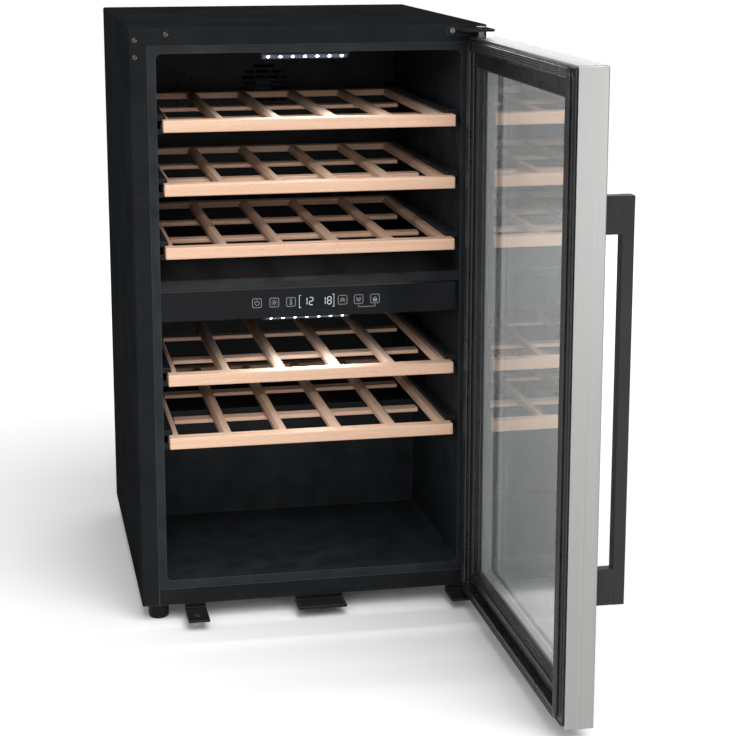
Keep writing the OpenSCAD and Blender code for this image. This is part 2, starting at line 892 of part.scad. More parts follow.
module door_inner_frame() {
    g = wrap_t + 0.15;
    fold = wrap_fold + 0.15;
    bevel = 1.8;
    color(black_plastic) door_place() difference() {
        union() {
            ring_y([-door_x + g, door_z0 + g], [door_x - g, door_z1 - g],
                   [-glass_x, glass_z0], [glass_x, glass_z1],
                   door_front + g, door_back - g, 0.6, 1);
            ring_y([-door_x + fold, door_z0 + fold], [door_x - fold, door_z1 - fold],
                   [-glass_x, glass_z0], [glass_x, glass_z1],
                   door_back - g - 1, door_back, 1, 1);
        }
        // bevel at the mouth, seat for the glazing, groove for the gasket's foot
        translate([0, door_back - bevel, (glass_z0 + glass_z1) / 2]) rotate([-90, 0, 0])
            linear_extrude(bevel + 0.2, slices = 1, scale = [
                (glass_x + bevel) / glass_x,
                (glass_z1 - glass_z0 + 2 * bevel) / (glass_z1 - glass_z0)
            ]) square([2 * glass_x, glass_z1 - glass_z0], center = true);
        along_y(door_front, inner_y + air) round_rect(
            [-glass_x - glass_lap - air, glass_z0 - glass_lap - air],
            [glass_x + glass_lap + air, glass_z1 + glass_lap + air], 1);
        gasket_ring(gasket_foot, foot_groove, -6, 1, 2, 2);
        translate([hinge_x, hinge_y, door_z0]) cylinder(h = 20, r = bush_r);
        translate([hinge_x, hinge_y, door_z1 - 20]) cylinder(h = 21, r = bush_r);
    }
}

module pane(y0) {
    along_y(y0, y0 + pane_t) round_rect([-glass_x - glass_lap, glass_z0 - glass_lap],
                                        [glass_x + glass_lap, glass_z1 + glass_lap], 2);
}

module outer_glass() {
    color(clear_glass) door_place() pane(outer_y - pane_t);
}

module inner_glass() {
    color(clear_glass) door_place() pane(inner_y - pane_t);
}

module glass_spacer() {
    out = glass_lap - 1;
    into = 3;
    color([0.62, 0.63, 0.64]) door_place()
        ring_y([-glass_x - out, glass_z0 - out], [glass_x + out, glass_z1 + out],
               [-glass_x + into, glass_z0 + into], [glass_x - into, glass_z1 - into],
               outer_y, inner_y - pane_t, 1, 1);
}

module door_gasket() {
    slack = 0.1;
    edge = 3;
    w = [gasket_w - 1, gasket_w - 1];
    color(rubber_black) door_place() {
        // flange out to the frame's edge, neck, face, foot
        ring_y([-door_x + edge, door_z0 + edge], [gasket_high.x - 1, door_z1 - edge],
               gasket_low + w, gasket_high - w, door_back, door_back + 2.8, 4, 3);
        gasket_ring(4, gasket_w - 6, 2.7, 5.3, 4, 3);
        gasket_ring(0, gasket_w, 5.2, gasket_gap - air, 4, 3);
        gasket_ring(gasket_foot + slack, foot_groove - 2 * slack, -5.8, slack, 1.9, 1.9);
    }
}

module handle_bar() {
    color(black_plastic) door_place()
        soft_block([handle_x - handle_w / 2, handle_front, handle_z0],
                   [handle_x + handle_w / 2, handle_front + handle_t, handle_z0 + handle_len], 1.2);
}

module handle_posts() {
    inset = 0.5;
    top = handle_z0 + handle_len;
    color(black_plastic) door_place()
        for (z = [handle_z0, top - post_h])
            bar_y([handle_x - handle_w / 2 + inset, handle_front + handle_t, z],
                  [handle_x + handle_w / 2 - inset, door_front, z + post_h], 1.5);
}

module door_bushes() {
    color([0.85, 0.85, 0.82]) door_place() translate([hinge_x, hinge_y, 0])
        for (z = [door_z0 - 0.8, door_z1 - 17.2]) translate([0, 0, z]) difference() {
            cylinder(h = 18, r = bush_r);
            translate([0, 0, -1]) cylinder(h = 20, r = pin_r + fit_gap);
        }
}

// ---------- output ----------

outer_shell();
bottom_front_rail();
foam_insulation();
inner_liner();
back_panel();
base_pan();
zone_divider();
control_panel();
display_window();
control_board();
light_bars();
light_diffusers();
upper_duct_cover();
lower_duct_cover();
evaporators();
fan_frames();
upper_fan_rotor();
lower_fan_rotor();
charcoal_filter();
temperature_sensors();
compressor();
compressor_mounts();
relay_box();
condenser_coil();
condenser_fan_rotor();
drip_tray();
filter_drier();
refrigerant_lines();
rear_grille();
cord_inlet();
top_hinge_bracket();
bottom_hinge_bracket();
hinge_pins();
hinge_screws();
hole_plugs();
left_tab_plate();
centre_plate();
foot([-1, -1]);  // front_left_foot
foot([1, -1]);  // front_right_foot
foot([-1, 1]);  // rear_left_foot
foot([1, 1]);  // rear_right_foot
for (i = [0 : shelf_count - 1]) {
    shelf_front_bar(i);
    shelf_rack(i);
}
door_outer_frame();
door_inner_frame();
outer_glass();
inner_glass();
glass_spacer();
door_gasket();
handle_bar();
handle_posts();
door_bushes();
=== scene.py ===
"""Looks of a dual-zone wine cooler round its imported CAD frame.

Everything is in metres, with +Z up and the door side to -Y.
"""

import json
import math

import bmesh
import bpy
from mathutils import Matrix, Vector


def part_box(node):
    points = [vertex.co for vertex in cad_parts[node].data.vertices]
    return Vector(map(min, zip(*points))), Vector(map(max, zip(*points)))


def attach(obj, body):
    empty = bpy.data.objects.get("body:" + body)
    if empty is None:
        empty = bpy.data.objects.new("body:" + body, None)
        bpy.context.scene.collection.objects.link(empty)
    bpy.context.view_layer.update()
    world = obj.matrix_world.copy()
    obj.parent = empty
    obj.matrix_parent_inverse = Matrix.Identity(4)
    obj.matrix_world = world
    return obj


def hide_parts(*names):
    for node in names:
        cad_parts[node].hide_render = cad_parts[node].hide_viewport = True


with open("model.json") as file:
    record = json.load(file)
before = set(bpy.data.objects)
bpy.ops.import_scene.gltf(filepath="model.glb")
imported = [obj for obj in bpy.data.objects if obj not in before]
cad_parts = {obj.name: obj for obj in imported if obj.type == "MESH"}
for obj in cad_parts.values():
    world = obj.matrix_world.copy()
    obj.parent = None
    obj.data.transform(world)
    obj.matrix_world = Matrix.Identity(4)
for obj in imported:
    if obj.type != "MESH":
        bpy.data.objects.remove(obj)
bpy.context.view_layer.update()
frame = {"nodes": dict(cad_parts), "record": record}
NODES = frame["nodes"]
MM = 0.001
SHELVES = range(1, 6)


# ---------- camera and light ----------

# Place in metres, angles in radians, lens in millimetres, shift as a share of the picture's width
CAMERA_AT = (-0.4348, -2.8296, 1.0054)
CAMERA_YAW = 0.1982
CAMERA_PITCH = 0.203
CAMERA_LENS = 92.5
CAMERA_SHIFT = -0.102
STUDIO_WHITE = (1.0, 1.0, 1.0, 1.0)
WORLD_STRENGTH = 0.46
BROAD_STRENGTH = 2.35
BROAD_SOFTNESS = 50


def add_camera():
    data = bpy.data.cameras.new("camera")
    data.lens = CAMERA_LENS
    data.sensor_width = 36.0
    data.shift_y = CAMERA_SHIFT
    data.clip_end = 100.0
    camera = bpy.data.objects.new("camera", data)
    camera.location = CAMERA_AT
    camera.rotation_euler = (math.pi / 2 - CAMERA_PITCH, 0.0, -CAMERA_YAW)
    bpy.context.scene.collection.objects.link(camera)
    bpy.context.scene.camera = camera


def add_softbox(name, at, towards, width, height, power, colour=(1.0, 1.0, 1.0)):
    """Rectangular area lamp at one point, facing another. Its power is in watts."""
    data = bpy.data.lights.new(name, "AREA")
    data.shape = "RECTANGLE"
    data.size = width
    data.size_y = height
    data.energy = power
    data.color = colour
    lamp = bpy.data.objects.new(name, data)
    lamp.location = at
    lamp.rotation_euler = (Vector(towards) - Vector(at)).to_track_quat("-Z", "Y").to_euler()
    lamp.visible_camera = False
    bpy.context.scene.collection.objects.link(lamp)


def add_broad_light(at, towards, strength, softness):
    """Even light from one side of the studio, soft by the angle in degrees that its source fills."""
    data = bpy.data.lights.new("broad_light", "SUN")
    data.energy = strength
    data.angle = math.radians(softness)
    lamp = bpy.data.objects.new("broad_light", data)
    lamp.rotation_euler = (Vector(towards) - Vector(at)).to_track_quat("-Z", "Y").to_euler()
    bpy.context.scene.collection.objects.link(lamp)


def add_studio():
    world = bpy.data.worlds.new("studio")
    world.use_nodes = True
    background = world.node_tree.nodes["Background"]
    background.inputs["Color"].default_value = STUDIO_WHITE
    background.inputs["Strength"].default_value = WORLD_STRENGTH
    bpy.context.scene.world = world
    bpy.context.scene.view_settings.view_transform = "Standard"
    add_broad_light((0.25, -0.8, 1.15), (0, 0, 0), BROAD_STRENGTH, BROAD_SOFTNESS)
    add_softbox("front_softbox", (-1.1, -3.6, 2.0), (0.0, -0.2, 0.4), 1.8, 1.8, 24.0)
    add_softbox("fill_softbox", (1.6, -3.4, 0.5), (0.0, -0.2, 0.3), 1.2, 0.8, 9.0)
    add_softbox("back_softbox", (1.3, 3.2, 1.45), (0.2, -0.4, 0.8), 2.6, 1.2, 26.0)


# ---------- materials ----------

# The Mix node's first input, second input and output for each kind of data
MIX_SOCKETS = {"FLOAT": (2, 3, 0), "VECTOR": (4, 5, 1), "RGBA": (6, 7, 2)}


def srgb(red, green, blue):
    """Linear colour of an sRGB colour given from 0 to 255."""
    def linear(level):
        level = level / 255
        return level / 12.92 if level <= 0.04045 else ((level + 0.055) / 1.055) ** 2.4
    return (linear(red), linear(green), linear(blue), 1.0)


class Surface:
    """A Principled material with short ways to wire its nodes.

    Patterns are placed in the object's own metres.
    """

    def __init__(self, name, roughness, metallic=0.0, specular=0.5):
        self.material = bpy.data.materials.new(name)
        self.material.use_nodes = True
        self.tree = self.material.node_tree
        self.shader = self.tree.nodes["Principled BSDF"]
        self.place = self.add("ShaderNodeTexCoord").outputs["Object"]
        self.set(self.shader, "Roughness", roughness)
        self.set(self.shader, "Metallic", metallic)
        self.set(self.shader, "Specular IOR Level", specular)

    def add(self, kind, **settings):
        node = self.tree.nodes.new(kind)
        for key, value in settings.items():
            setattr(node, key, value)
        return node

    def set(self, node, socket, value):
        """Links value if it is another node's output, and otherwise stores it on the socket."""
        if isinstance(value, bpy.types.NodeSocket):
            self.tree.links.new(value, node.inputs[socket])
        else:
            node.inputs[socket].default_value = value

    def shade(self, socket, value):
        self.set(self.shader, socket, value)

    def scaled(self, size, stretch):
        mapping = self.add("ShaderNodeMapping")
        self.set(mapping, "Vector", self.place)
        self.set(mapping, "Scale", [1 / (size * s) for s in stretch])
        return mapping.outputs["Vector"]

    def noise(self, size, detail=2.0, stretch=(1, 1, 1)):
        """Soft noise with blobs about size across, drawn out along each axis by stretch."""
        node = self.add("ShaderNodeTexNoise")
        self.set(node, "Vector", self.scaled(size, stretch))
        self.set(node, "Scale", 1.0)
        self.set(node, "Detail", detail)
        return node.outputs["Fac"]

    def cells(self, size, output="Distance", stretch=(1, 1, 1), randomness=1.0):
        """Cells about size across: distance to each one's centre, or its own random colour."""
        node = self.add("ShaderNodeTexVoronoi")
        self.set(node, "Vector", self.scaled(size, stretch))
        self.set(node, "Scale", 1.0)
        self.set(node, "Randomness", randomness)
        return node.outputs[output]

    def spread(self, value, low, high, start=0.3, end=0.7):
        """Maps the range from start to end onto the range from low to high, and holds it there."""
        node = self.add("ShaderNodeMapRange")
        self.set(node, "Value", value)
        self.set(node, "From Min", start)
        self.set(node, "From Max", end)
        self.set(node, "To Min", low)
        self.set(node, "To Max", high)
        return node.outputs["Result"]

    def maths(self, operation, first, second=0.0):
        node = self.add("ShaderNodeMath", operation=operation)
        self.set(node, 0, first)
        self.set(node, 1, second)
        return node.outputs["Value"]

    def mix(self, kind, share, first, second):
        """Value of one kind of data, mixed from first to second by share."""
        node = self.add("ShaderNodeMix", data_type=kind)
        from_socket, to_socket, result = MIX_SOCKETS[kind]
        self.set(node, "Factor", share)
        self.set(node, from_socket, first)
        self.set(node, to_socket, second)
        return node.outputs[result]

    def between(self, share, first, second):
        """Colour mixed from first to second by share."""
        return self.mix("RGBA", share, first, second)

    def axis(self, name):
        node = self.add("ShaderNodeSeparateXYZ")
        self.set(node, "Vector", self.place)
        return node.outputs[name]

    def edges(self, radius):
        """1 along the edges of the object's own shape, 0 on its flats."""
        bevel = self.add("ShaderNodeBevel", samples=8)
        self.set(bevel, "Radius", radius)
        shape = self.add("ShaderNodeNewGeometry")
        compare = self.add("ShaderNodeVectorMath", operation="DOT_PRODUCT")
        self.set(compare, 0, bevel.outputs["Normal"])
        self.set(compare, 1, shape.outputs["True Normal"])
        return self.spread(compare.outputs["Value"], 1, 0, 0.8, 0.98)

    def relief(self, height, depth, edge=0.0):
        """Bump of that depth in metres, over edges rounded to the radius edge."""
        node = self.add("ShaderNodeBump")
        self.set(node, "Height", height)
        self.set(node, "Distance", depth)
        if edge:
            bevel = self.add("ShaderNodeBevel", samples=4)
            self.set(bevel, "Radius", edge)
            self.set(node, "Normal", bevel.outputs["Normal"])
        self.shade("Normal", node.outputs["Normal"])


def powder_coat(name, dark, light, edge, specular, rough):
    """Black powder paint on steel, with a fine orange-peel skin and lighter edges: a painted highlight where
    edges catch the light, which also stands for wear from handling.
    """
    s = Surface(name, rough, specular=specular)
    peel = s.noise(1.3 * MM, 3.0)
    cloud = s.noise(90 * MM, 3.0)
    paint = s.between(s.maths("MULTIPLY", s.spread(peel, 0.2, 1), cloud), dark, light)
    # Painted highlight along the edges in the edge colour, partly standing for wear from handling.
    s.shade("Base Color", s.between(s.maths("MULTIPLY", s.edges(1.2 * MM), 0.75), paint, edge))
    s.shade("Roughness", s.spread(s.noise(4 * MM, 4.0), rough - 0.06, rough + 0.08))
    s.relief(peel, 0.05 * MM, 0.6 * MM)
    return s.material


def moulded(name, dark, light, rough, grain=0.7, depth=0.03, specular=0.4, edge=0.4, painted_edge_highlight=None):
    """Injection-moulded plastic with a fine grain, and, if an edge colour is given, a painted highlight along
    its edges in that colour.
    """
    s = Surface(name, rough, specular=specular)
    skin = s.noise(grain * MM, 2.0)
    tone = s.between(s.spread(s.noise(35 * MM, 4.0), 0, 1), dark, light)
    # Painted highlight: a lighter colour along the edges, where they would catch the light.
    if painted_edge_highlight:
        tone = s.between(s.maths("MULTIPLY", s.edges(1.1 * MM), 0.8), tone, painted_edge_highlight)
    s.shade("Base Color", tone)
    worn = s.maths("ADD", skin, s.noise(12 * MM, 3.0))
    s.shade("Roughness", s.spread(worn, rough - 0.06, rough + 0.08, 0.7, 1.3))
    s.relief(skin, depth * MM, edge * MM)
    return s.material


def galvanised():
    """Zinc-coated sheet with its soft spangle."""
    s = Surface("galvanised", 0.42, metallic=1.0)
    spangle = s.cells(7 * MM, "Color")
    shade = s.maths("ADD", s.maths("MULTIPLY", spangle, 0.6), s.maths("MULTIPLY", s.noise(50 * MM, 4.0), 0.4))
    s.shade("Base Color", s.between(s.spread(shade, 0, 1), srgb(150, 152, 154), srgb(174, 176, 178)))
    s.shade("Roughness", s.spread(spangle, 0.34, 0.5, 0, 1))
    s.relief(s.noise(1.6 * MM, 2.0), 0.02 * MM, 0.4 * MM)
    return s.material


def foam():
    """Cut polyurethane foam with open pores, darker towards each pore's middle as painted shade."""
    s = Surface("foam", 0.9, specular=0.2)
    pores = s.cells(1.6 * MM)
    depth = s.spread(pores, 0, 1, 0.1, 0.7)
    # Painted shade: darker colour in the pores.
    s.shade("Base Color", s.between(depth, srgb(214, 196, 150), srgb(238, 226, 190)))
    s.relief(s.maths("ADD", pores, s.noise(14 * MM, 4.0)), 0.6 * MM)
    return s.material


def gloss_panel():
    """Glossy black control strip with a very fine film texture."""
    s = Surface("gloss_panel", 0.2, specular=0.12)
    s.shade("Base Color", s.between(s.noise(40 * MM, 3.0), srgb(12, 13, 15), srgb(17, 19, 22)))
    s.shade("Roughness", s.spread(s.noise(9 * MM, 4.0), 0.16, 0.27))
    s.shade("Coat Weight", 0.04)
    s.shade("Coat Roughness", 0.08)
    s.relief(s.noise(0.6 * MM), 0.006 * MM, 0.5 * MM)
    return s.material


def display_lens():
    """Dark clear window over the figures, nearly smooth."""
    s = Surface("display_lens", 0.08, specular=0.12)
    s.shade("Base Color", s.between(s.noise(12 * MM), srgb(12, 13, 15), srgb(18, 20, 23)))
    s.shade("Roughness", s.spread(s.noise(5 * MM, 3.0), 0.05, 0.13))
    s.relief(s.noise(8 * MM), 0.01 * MM, 0.2 * MM)
    return s.material


def circuit_board():
    """Green board with a grid of paler tracks."""
    s = Surface("circuit_board", 0.4)
    tracks = s.add("ShaderNodeTexBrick")
    s.set(tracks, "Vector", s.scaled(9 * MM, (1, 1, 1)))
    s.set(tracks, "Scale", 1.0)
    s.set(tracks, "Mortar Size", 0.05)
    s.set(tracks, "Color1", srgb(28, 92, 52))
    s.set(tracks, "Color2", srgb(24, 80, 46))
    s.set(tracks, "Mortar", srgb(60, 132, 84))
    s.shade("Base Color", tracks.outputs["Color"])
    s.shade("Roughness", s.spread(s.noise(6 * MM), 0.3, 0.5))
    s.relief(tracks.outputs["Fac"], 0.05 * MM)
    return s.material


def diffuser():
    """Frosted cover of the light bars, softly lit from behind."""
    s = Surface("diffuser", 0.35)
    frost = s.noise(1.2 * MM, 3.0)
    s.shade("Base Color", s.between(frost, srgb(60, 72, 92), srgb(96, 112, 138)))
    s.shade("Roughness", s.spread(frost, 0.25, 0.45))
    s.shade("Emission Color", s.between(frost, srgb(90, 130, 190), srgb(140, 175, 225)))
    s.shade("Emission Strength", 0.06)
    s.relief(frost, 0.03 * MM)
    return s.material


def finned_aluminium():
    """Bare aluminium with upright fins, with painted shade in the gaps between them and painted light on the
    fins.
    """
    s = Surface("finned_aluminium", 0.4, metallic=1.0)
    fin_pitch = 3 * MM
    fins = s.maths("FRACT", s.maths("MULTIPLY", s.axis("X"), 1 / fin_pitch))
    ridge = s.maths("PINGPONG", fins, 0.5)
    # Painted light and shade: lighter colour on the fins, darker in the gaps between them.
    lit = s.spread(ridge, 0, 1, 0.05, 0.25)
    s.shade("Base Color", s.between(lit, srgb(96, 99, 102), srgb(198, 201, 204)))
    s.shade("Roughness", s.spread(s.noise(7 * MM, 3.0), 0.32, 0.5))
    s.relief(ridge, 0.8 * MM)
    return s.material


def filter_felt():
    """Grey felt over the charcoal."""
    s = Surface("filter_felt", 0.85, specular=0.2)
    fibre = s.noise(0.9 * MM, 5.0, (1, 1, 3))
    s.shade("Base Color", s.between(s.spread(fibre, 0, 1), srgb(34, 35, 37), srgb(74, 76, 79)))
    s.relief(fibre, 0.3 * MM)
    return s.material


def enamel():
    """Dipped black enamel with slow sags."""
    s = Surface("enamel", 0.24)
    sag = s.noise(14 * MM, 2.0, (1, 1, 2.5))
    s.shade("Base Color", s.between(s.noise(60 * MM, 4.0), srgb(14, 14, 15), srgb(30, 30, 32)))
    s.shade("Roughness", s.spread(s.noise(9 * MM, 4.0), 0.18, 0.36))
    s.shade("Coat Weight", 0.3)
    s.relief(sag, 0.25 * MM, 0.6 * MM)
    return s.material


def rubber(name, dark, light, rough, specular=0.15):
    """Black rubber with a faint cloudy bloom."""
    s = Surface(name, rough, specular=specular)
    bloom = s.noise(22 * MM, 5.0)
    s.shade("Base Color", s.between(s.spread(bloom, 0, 1), dark, light))
    s.shade("Roughness", s.spread(bloom, rough - 0.08, rough + 0.1))
    s.relief(s.noise(0.5 * MM, 2.0), 0.02 * MM, 0.3 * MM)
    return s.material


def copper():
    """Drawn copper tube with brown stains."""
    s = Surface("copper", 0.32, metallic=1.0)
    stain = s.noise(16 * MM, 5.0)
    brown = s.spread(stain, 0, 1, 0.38, 0.66)
    s.shade("Base Color", s.between(brown, srgb(216, 140, 100), srgb(138, 84, 62)))
    s.shade("Roughness", s.spread(stain, 0.24, 0.5))
    s.relief(s.noise(2.5 * MM, 3.0, (1, 1, 4)), 0.03 * MM)
    return s.material


def zinc():
    """Dull zinc plating on screws and small steel parts."""
    s = Surface("zinc", 0.34, metallic=1.0)
    tint = s.noise(5 * MM, 3.0)
    s.shade("Base Color", s.between(s.spread(tint, 0, 1), srgb(104, 104, 102), srgb(150, 148, 142)))
    s.shade("Roughness", s.spread(s.noise(1.5 * MM, 3.0), 0.26, 0.44))
    s.relief(s.noise(0.4 * MM), 0.01 * MM, 0.15 * MM)
    return s.material


def beech(name, along):
    """Steamed beech: straight pinkish grain along one axis, with its short darker flecks."""
    s = Surface(name, 0.5, specular=0.4)

    def drawn(length):
        return [length if axis == along else 1 for axis in "XYZ"]

    bands = s.noise(7 * MM, 3.0, drawn(45))
    fibre = s.noise(0.8 * MM, 3.0, drawn(50))
    broad = s.noise(55 * MM, 2.0, drawn(6))
    flecks = s.spread(s.cells(1.7 * MM, stretch=drawn(4.5)), 1, 0, 0.1, 0.3)
    tone = s.between(s.spread(bands, 0, 1), srgb(228, 194, 168), srgb(212, 174, 146))
    tone = s.between(s.spread(broad, 0, 0.5), tone, srgb(226, 184, 158))
    tone = s.between(s.maths("MULTIPLY", s.spread(fibre, 0, 1), 0.35), tone, srgb(200, 156, 126))
    s.shade("Base Color", s.between(s.maths("MULTIPLY", flecks, 0.4), tone, srgb(168, 118, 90)))
    s.shade("Roughness", s.spread(fibre, 0.42, 0.6))
    s.relief(s.maths("SUBTRACT", fibre, s.maths("MULTIPLY", flecks, 0.5)), 0.06 * MM, 0.7 * MM)
    return s.material


def brushed_steel():
    """Brushed stainless frame: upright on the stiles, level on the rails, with a mitre at each corner."""
    s = Surface("brushed_steel", 0.34, metallic=1.0)
    low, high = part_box("door_outer_frame")
    y, z = s.axis("Y"), s.axis("Z")
    to_side = s.maths("MINIMUM", s.maths("SUBTRACT", y, low.y), s.maths("SUBTRACT", high.y, y))
    to_end = s.maths("MINIMUM", s.maths("SUBTRACT", z, low.z), s.maths("SUBTRACT", high.z, z))
    on_rail = s.maths("LESS_THAN", to_end, to_side)
    seam = s.spread(s.maths("ABSOLUTE", s.maths("SUBTRACT", to_end, to_side)), 1, 0, 0.1 * MM, 0.5 * MM)

    def streaks(along):
        stretch = [400 if axis == along else 1 for axis in "XYZ"]
        return s.maths("ADD", s.noise(0.45 * MM, 2.0, stretch), s.noise(5 * MM, 3.0, stretch))

    brush = s.mix("FLOAT", on_rail, streaks("Z"), streaks("Y"))
    tone = s.between(s.spread(brush, 0, 1, 0.75, 1.25), srgb(152, 152, 151), srgb(161, 161, 159))
    s.shade("Base Color", s.between(s.maths("MULTIPLY", seam, 0.55), tone, srgb(70, 70, 70)))
    s.shade("Roughness", s.spread(brush, 0.3, 0.38, 0.75, 1.25))
    s.shade("Anisotropic", 0.55)
    along_brush = s.mix("VECTOR", on_rail, (0.0, 0.0, 1.0), (0.0, 1.0, 0.0))
    in_world = s.add("ShaderNodeVectorTransform", vector_type="VECTOR",
                     convert_from="OBJECT", convert_to="WORLD")
    s.set(in_world, "Vector", along_brush)
    s.shade("Tangent", in_world.outputs["Vector"])
    s.relief(brush, 0.004 * MM, 0.5 * MM)
    return s.material


def glazing():
    """Smoked pane: clear when faced, mirror-like at a glancing angle, with faint wiping marks."""
    s = Surface("glazing", 0.05)
    facing = s.add("ShaderNodeLayerWeight")
    s.set(facing, "Blend", 0.5)
    glance = s.maths("POWER", facing.outputs["Facing"], 4.0)
    mirror_share = s.spread(glance, 0.06, 1.0, 0.0, 1.0)
    clear = s.add("ShaderNodeBsdfTransparent")
    smoke = s.between(s.noise(120 * MM, 2.0), (0.875, 0.88, 0.878, 1), (0.89, 0.895, 0.893, 1))
    s.set(clear, "Color", smoke)
    mirror = s.add("ShaderNodeBsdfAnisotropic")
    s.set(mirror, "Color", (0.99, 1.0, 0.995, 1.0))
    s.set(mirror, "Roughness", s.spread(s.noise(30 * MM, 5.0), 0.0, 0.05, 0.4, 0.8))
    mixed = s.add("ShaderNodeMixShader")
    s.set(mixed, 0, mirror_share)
    s.set(mixed, 1, clear.outputs[0])
    s.set(mixed, 2, mirror.outputs[0])
    s.tree.nodes.remove(s.shader)
    s.set(s.tree.nodes["Material Output"], "Surface", mixed.outputs[0])
    return s.material


def spacer_metal():
    """Anodised spacer with its grid of pinholes, drawn as dark dots of painted shade."""
    s = Surface("spacer_metal", 0.4, metallic=0.15)
    hole_pitch = 3.5 * MM
    pinhole_shade = s.spread(s.cells(hole_pitch, randomness=0.0), 1, 0, 0.1, 0.14)
    tone = s.between(s.noise(60 * MM, 3.0), srgb(214, 215, 216), srgb(230, 231, 232))
    # Painted shade: each pinhole is a dark dot in the colour.
    s.shade("Base Color", s.between(pinhole_shade, tone, srgb(60, 61, 62)))
    s.shade("Roughness", s.spread(s.noise(1.2 * MM, 2.0, (1, 1, 20)), 0.34, 0.5))
    s.relief(s.noise(0.7 * MM, 2.0, (1, 1, 25)), 0.01 * MM)
    return s.material


def printed(name, colour, glow):
    """Backlit print on the control strip, slightly uneven."""
    s = Surface(name, 0.5)
    uneven = s.noise(2.2 * MM, 3.0)
    dim = [c * 0.8 for c in colour[:3]] + [1.0]
    s.shade("Base Color", s.between(uneven, dim, colour))
    s.shade("Emission Color", s.between(uneven, dim, colour))
    s.shade("Emission Strength", glow)
    s.relief(uneven, 0.005 * MM)
    return s.material


def make_materials():
    """The material of each slot named in the record."""
    return {
        # The edge colours of cabinet_black and handle_black are painted highlights along the edges, partly
        # wear.
        "cabinet_black": powder_coat("cabinet_black", srgb(21, 22, 23), srgb(45, 47, 49),
                                     edge=srgb(100, 103, 105), specular=0.0, rough=0.7),
        "galvanised": galvanised(),
        "foam": foam(),
        # The liner's and the door frame's lighter edge colours are painted highlights.
        "liner_black": moulded("liner_black", srgb(24, 27, 30), srgb(38, 42, 45), 0.42, grain=0.9,
                               depth=0.05, specular=0.15, edge=0.5, painted_edge_highlight=srgb(82, 87, 90)),
        "panel_black": gloss_panel(),
        "display_lens": display_lens(),
        "circuit_board": circuit_board(),
        "light_diffuser": diffuser(),
        "fin_aluminium": finned_aluminium(),
        "fan_black": moulded("fan_black", srgb(26, 27, 29), srgb(40, 42, 45), 0.46),
        "filter_grey": filter_felt(),
        "sensor_plastic": moulded("sensor_plastic", srgb(40, 41, 43), srgb(56, 58, 60), 0.5),
        "compressor_black": enamel(),
        "mount_rubber": rubber("mount_rubber", srgb(18, 18, 18), srgb(38, 37, 36), 0.7),
        "copper": copper(),
        "zinc": zinc(),
        "plug_grey": moulded("plug_grey", srgb(26, 27, 28), srgb(36, 38, 40), 0.16, grain=0.5, depth=0.01,
                             specular=0.7, edge=0.3),
        "foot_black": moulded("foot_black", srgb(12, 12, 13), srgb(22, 22, 23), 0.5, grain=1.1, depth=0.06,
                              specular=0.15),
        "beech": beech("beech_across", "X"),
        "stainless": brushed_steel(),
        "door_plastic": moulded("door_plastic", srgb(22, 23, 24), srgb(34, 35, 37), 0.3, grain=0.8,
                                depth=0.02, specular=0.2, edge=0.5, painted_edge_highlight=srgb(176, 177, 178)),
        "pane": glazing(),
        "spacer_metal": spacer_metal(),
        "gasket_rubber": rubber("gasket_rubber", srgb(20, 20, 21), srgb(36, 36, 37), 0.3, 0.5),
        "handle_black": powder_coat("handle_black", srgb(38, 38, 39), srgb(62, 63, 64),
                                    edge=srgb(92, 93, 94), specular=0.1, rough=0.5),
        "bush_nylon": moulded("bush_nylon", srgb(206, 204, 196), srgb(226, 224, 216), 0.4),
    }


def paint_nodes(materials):
    """Gives each CAD node the material of its slot."""
    for part in frame["record"]["subparts"]:
        mesh = NODES[part["node"]].data
        mesh.materials.clear()
        mesh.materials.append(materials[part["material_slot"]])


def paint_racks():
    """Gives each rack's slats a grain from front to back. Its rear bar and ties keep theirs across."""
    lengthwise = beech("beech_lengthwise", "Y")
    slat_lift = 3 * MM
    rear_bar = 20 * MM
    margin = 0.05 * MM
    for number in SHELVES:
        mesh = NODES[f"shelf_{number}_rack"].data
        mesh.materials.append(lengthwise)
        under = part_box(f"shelf_{number}_front_bar")[0].z + slat_lift
        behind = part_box(f"shelf_{number}_rack")[1].y - rear_bar
        for face in mesh.polygons:
            if face.center.z > under - margin and face.center.y < behind - margin:
                face.material_index = 1


# ---------- building pieces ----------

MITRE_LIMIT = 0.5


def piece(name, build, material, body, smooth=False):
    """New piece whose mesh build() fills, riding on a body and finished with the given material."""
    work = bmesh.new()
    build(work)
    bmesh.ops.recalc_face_normals(work, faces=work.faces)
    mesh = bpy.data.meshes.new(name)
    work.to_mesh(mesh)
    work.free()
    mesh.materials.append(material)
    if smooth:
        mesh.shade_smooth()
    made = bpy.data.objects.new(name, mesh)
    bpy.context.scene.collection.objects.link(made)
    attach(made, body)
    return made


def ribbon(work, points, width, back, front, closed=False):
    """Solid strip of even width along points given as (x, z), between two depths in Y, with mitred turns."""
    points = [Vector(p) for p in points]
    last = len(points) - 1
    rings = []
    for i, here in enumerate(points):
        before = here - points[i - 1] if closed or i > 0 else points[1] - here
        after = points[(i + 1) % (last + 1)] - here if closed or i < last else before
        before, after = before.normalized(), after.normalized()
        along = (before + after).normalized()
        side = Vector((-along.y, along.x))
        reach = width / 2 / max(side.dot(Vector((-before.y, before.x))), MITRE_LIMIT)
        a, b = here + side * reach, here - side * reach
        corners = ((a, back), (b, back), (b, front), (a, front))
        rings.append([work.verts.new((p.x, y, p.y)) for p, y in corners])
    pairs = list(zip(rings, rings[1:] + rings[:1]))
    for one, two in pairs if closed else pairs[:-1]:
        for k in range(4):
            work.faces.new((one[k], one[(k + 1) % 4], two[(k + 1) % 4], two[k]))
    if not closed:
        work.faces.new(rings[0])
        work.faces.new(rings[-1])


